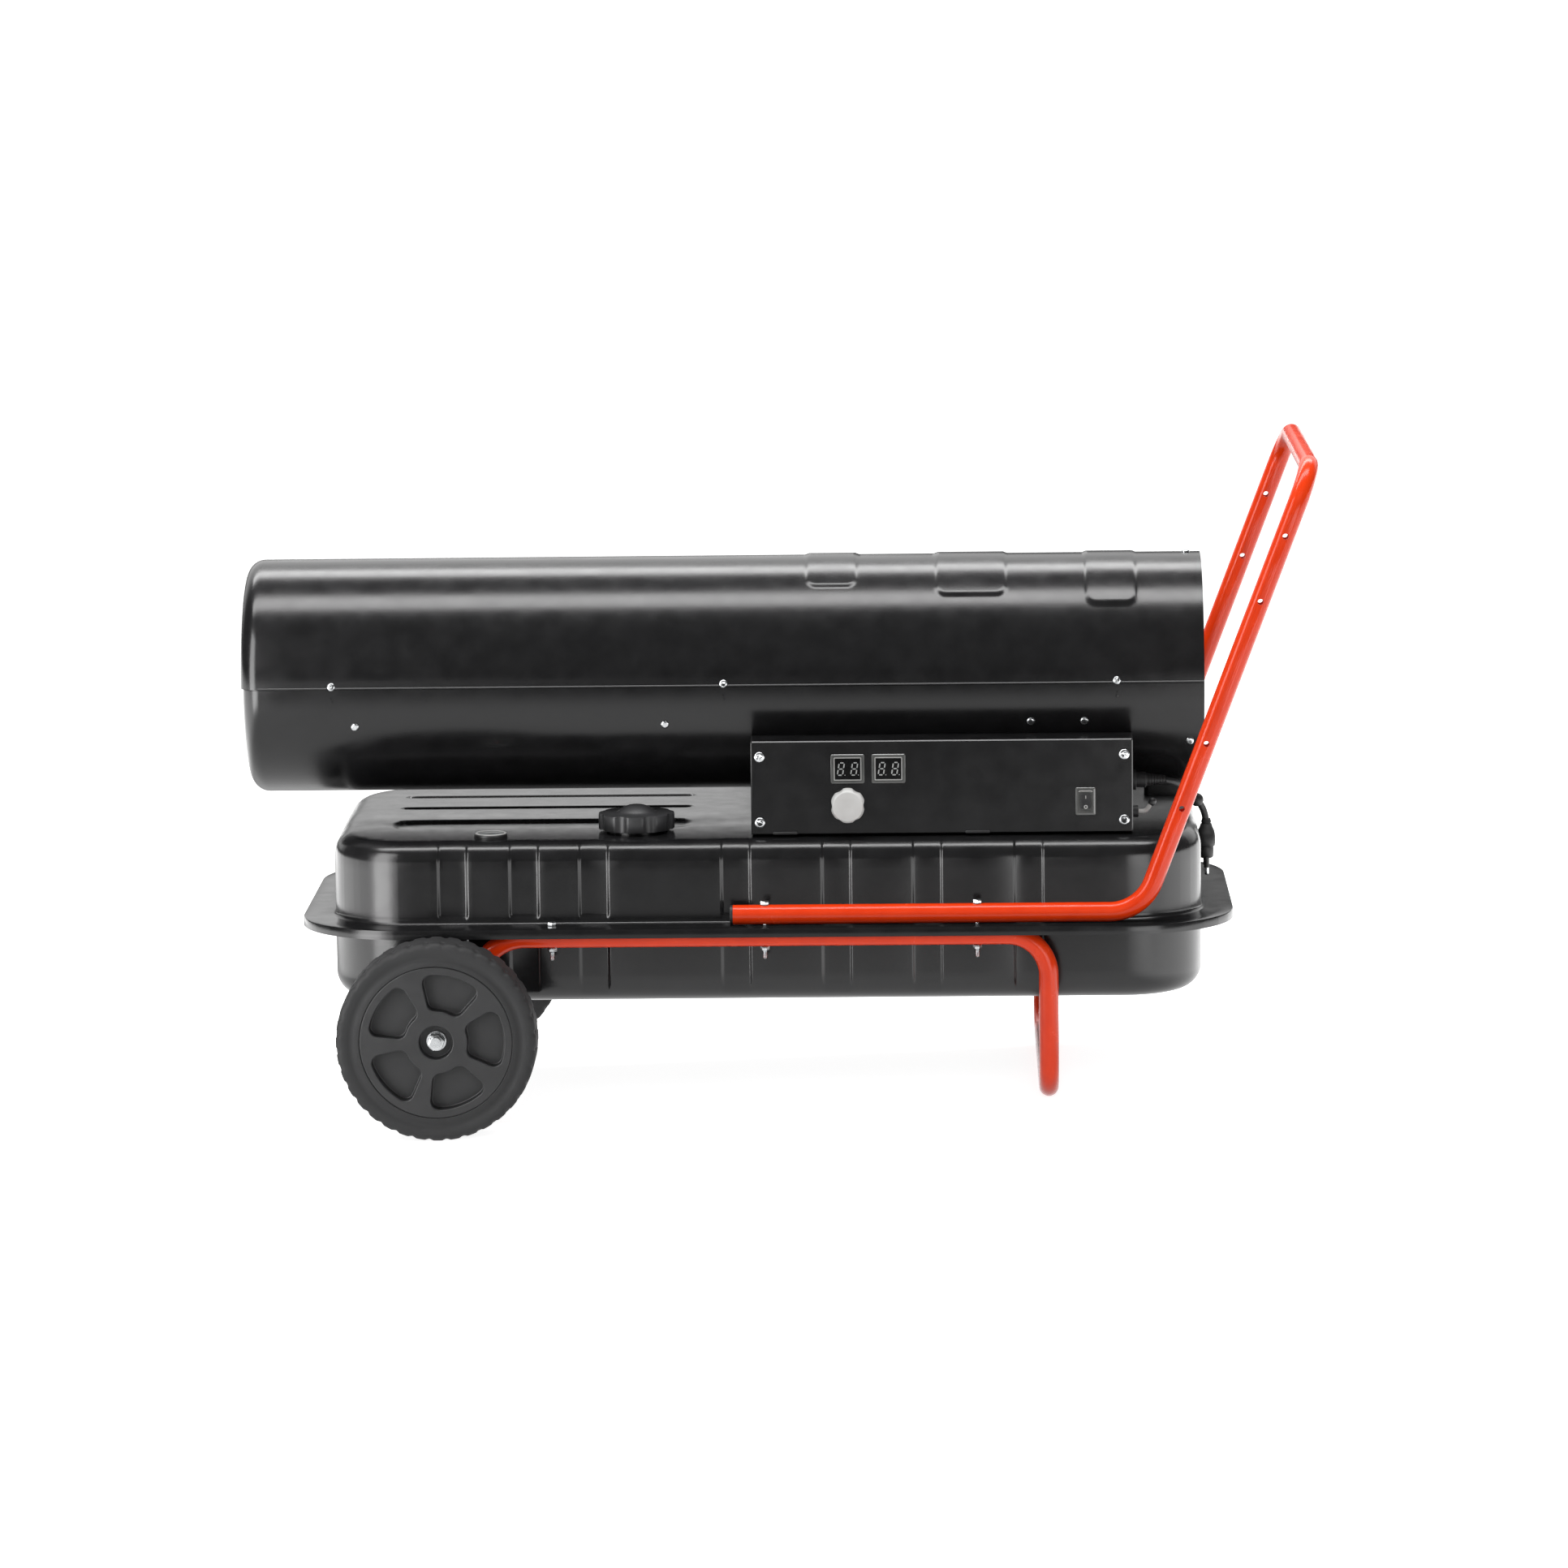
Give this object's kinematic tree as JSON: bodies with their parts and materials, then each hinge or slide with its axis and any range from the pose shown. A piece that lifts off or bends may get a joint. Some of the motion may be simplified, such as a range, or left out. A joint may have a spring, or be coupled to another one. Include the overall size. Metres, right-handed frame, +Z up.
{
  "type": "forced air heater",
  "caption": "Wheeled direct-fired torpedo heater: a black tubular barrel on a pressed fuel tank, with a red tube handle, a foot frame and a digital control box.",
  "frame": {"origin": "on the floor, under the middle of the heater's outline without its mains lead", "axes": "+X towards the air inlet and the handle, +Y away from the controls, +Z up"},
  "size_m": [1.1096, 0.5576, 0.6472],
  "materials": {
    "black_paint": "satin black",
    "red_paint": "gloss red",
    "wheel_plastic": "dark grey",
    "tyre": "black",
    "steel": "zinc plated",
    "burner_steel": "bare steel",
    "aluminium": "cast",
    "brass": "machined",
    "black_plastic": "black",
    "grey_plastic": "light grey",
    "clear_plastic": "clear",
    "red_plastic": "red",
    "rubber": "black",
    "board": "green",
    "ceramic": "white ceramic insulator",
    "nylon": "white nylon"
  },
  "bodies": {
    "chassis": {"tank_upper_shell": "black_paint", "tank_lower_shell": "black_paint", "drain_plug": "steel", "filler_neck": "steel", "filler_strainer": "steel", "gauge_body": "black_plastic", "gauge_lens": "clear_plastic", "fuel_pickup": "brass", "fuel_hose": "rubber", "air_hose": "rubber", "handle_tube": "red_paint", "tube_end_plugs": "black_plastic", "foot_frame": "red_paint", "flange_bolts": "steel", "flange_nuts": "steel", "axle": "steel", "axle_spacers": "steel", "axle_nuts": "steel", "barrel_upper_shell": "black_paint", "barrel_lower_shell": "black_paint", "shell_screws": "steel", "inlet_guard": "black_paint", "base_box": "black_paint", "control_panel": "black_paint", "back_panel": "black_paint", "panel_screws": "steel", "display_modules": "black_plastic", "circuit_board": "board", "thermostat_pot": "black_plastic", "switch_frame": "black_plastic", "ignition_transformer": "black_plastic", "motor_capacitor": "grey_plastic", "cable_grommets": "rubber", "room_sensor": "grey_plastic", "power_cord": "rubber", "power_plug": "rubber", "combustion_chamber": "burner_steel", "chamber_brackets": "steel", "flame_baffle": "burner_steel", "burner_head": "burner_steel", "fuel_nozzle": "brass", "spark_electrodes": "ceramic", "photocell": "black_plastic", "motor_housing": "aluminium", "motor_bracket": "steel", "pump_body": "aluminium", "air_filter": "black_plastic"},
    "wheel_near": {"wheel_hub_near": "wheel_plastic", "tyre_near": "tyre"},
    "wheel_far": {"wheel_hub_far": "wheel_plastic", "tyre_far": "tyre"},
    "rotor": {"motor_shaft": "steel", "fan": "aluminium", "pump_rotor": "burner_steel"},
    "knob": {"thermostat_knob": "grey_plastic"},
    "rocker": {"switch_rocker": "black_plastic"},
    "gasket": {"cap_gasket": "rubber"},
    "cap": {"filler_cap": "black_plastic"},
    "float": {"float_arm": "nylon"},
    "needle": {"gauge_needle": "red_plastic"}
  },
  "joints": [
    {"name": "wheel_near_spin", "type": "hinge", "parent": "chassis", "child": "wheel_near", "pos_m": [-0.35882, -0.252, 0.1015], "axis": [0, 1, 0], "continuous": true},
    {"name": "wheel_far_spin", "type": "hinge", "parent": "chassis", "child": "wheel_far", "pos_m": [-0.35882, 0.252, 0.1015], "axis": [0, 1, 0], "continuous": true},
    {"name": "fan_spin", "type": "hinge", "parent": "chassis", "child": "rotor", "pos_m": [0.21216, 0, 0.42166], "axis": [0.9994, 0, -0.0333], "continuous": true},
    {"name": "knob_turn", "type": "hinge", "parent": "chassis", "child": "knob", "pos_m": [0.06494, -0.17, 0.3094], "axis": [0, 1, 0], "range_deg": [0, 270]},
    {"name": "rocker_tip", "type": "hinge", "parent": "chassis", "child": "rocker", "pos_m": [0.30696, -0.1604, 0.30293], "axis": [0.9994, 0, -0.0333], "range_deg": [0, 20]},
    {"name": "cap_lift", "type": "slide", "parent": "chassis", "child": "gasket", "axis": [0.0333, 0, 0.9994], "range_m": [0, 0.03]},
    {"name": "cap_turn", "type": "hinge", "parent": "gasket", "child": "cap", "pos_m": [-0.15299, -0.115, 0.30325], "axis": [0.0333, 0, 0.9994], "range_deg": [0, 90]},
    {"name": "float_swing", "type": "hinge", "parent": "chassis", "child": "float", "pos_m": [-0.30273, -0.147, 0.25322], "axis": [0, -1, 0], "range_deg": [0, 60]},
    {"name": "needle_turn", "type": "hinge", "parent": "chassis", "child": "needle", "pos_m": [-0.3014, -0.147, 0.29319], "axis": [0.0333, 0, 0.9994], "range_deg": [0, 90]}
  ],
  "couplings": [
    {"joint": "needle_turn", "follows": "float_swing", "ratio": 1.5}
  ]
}
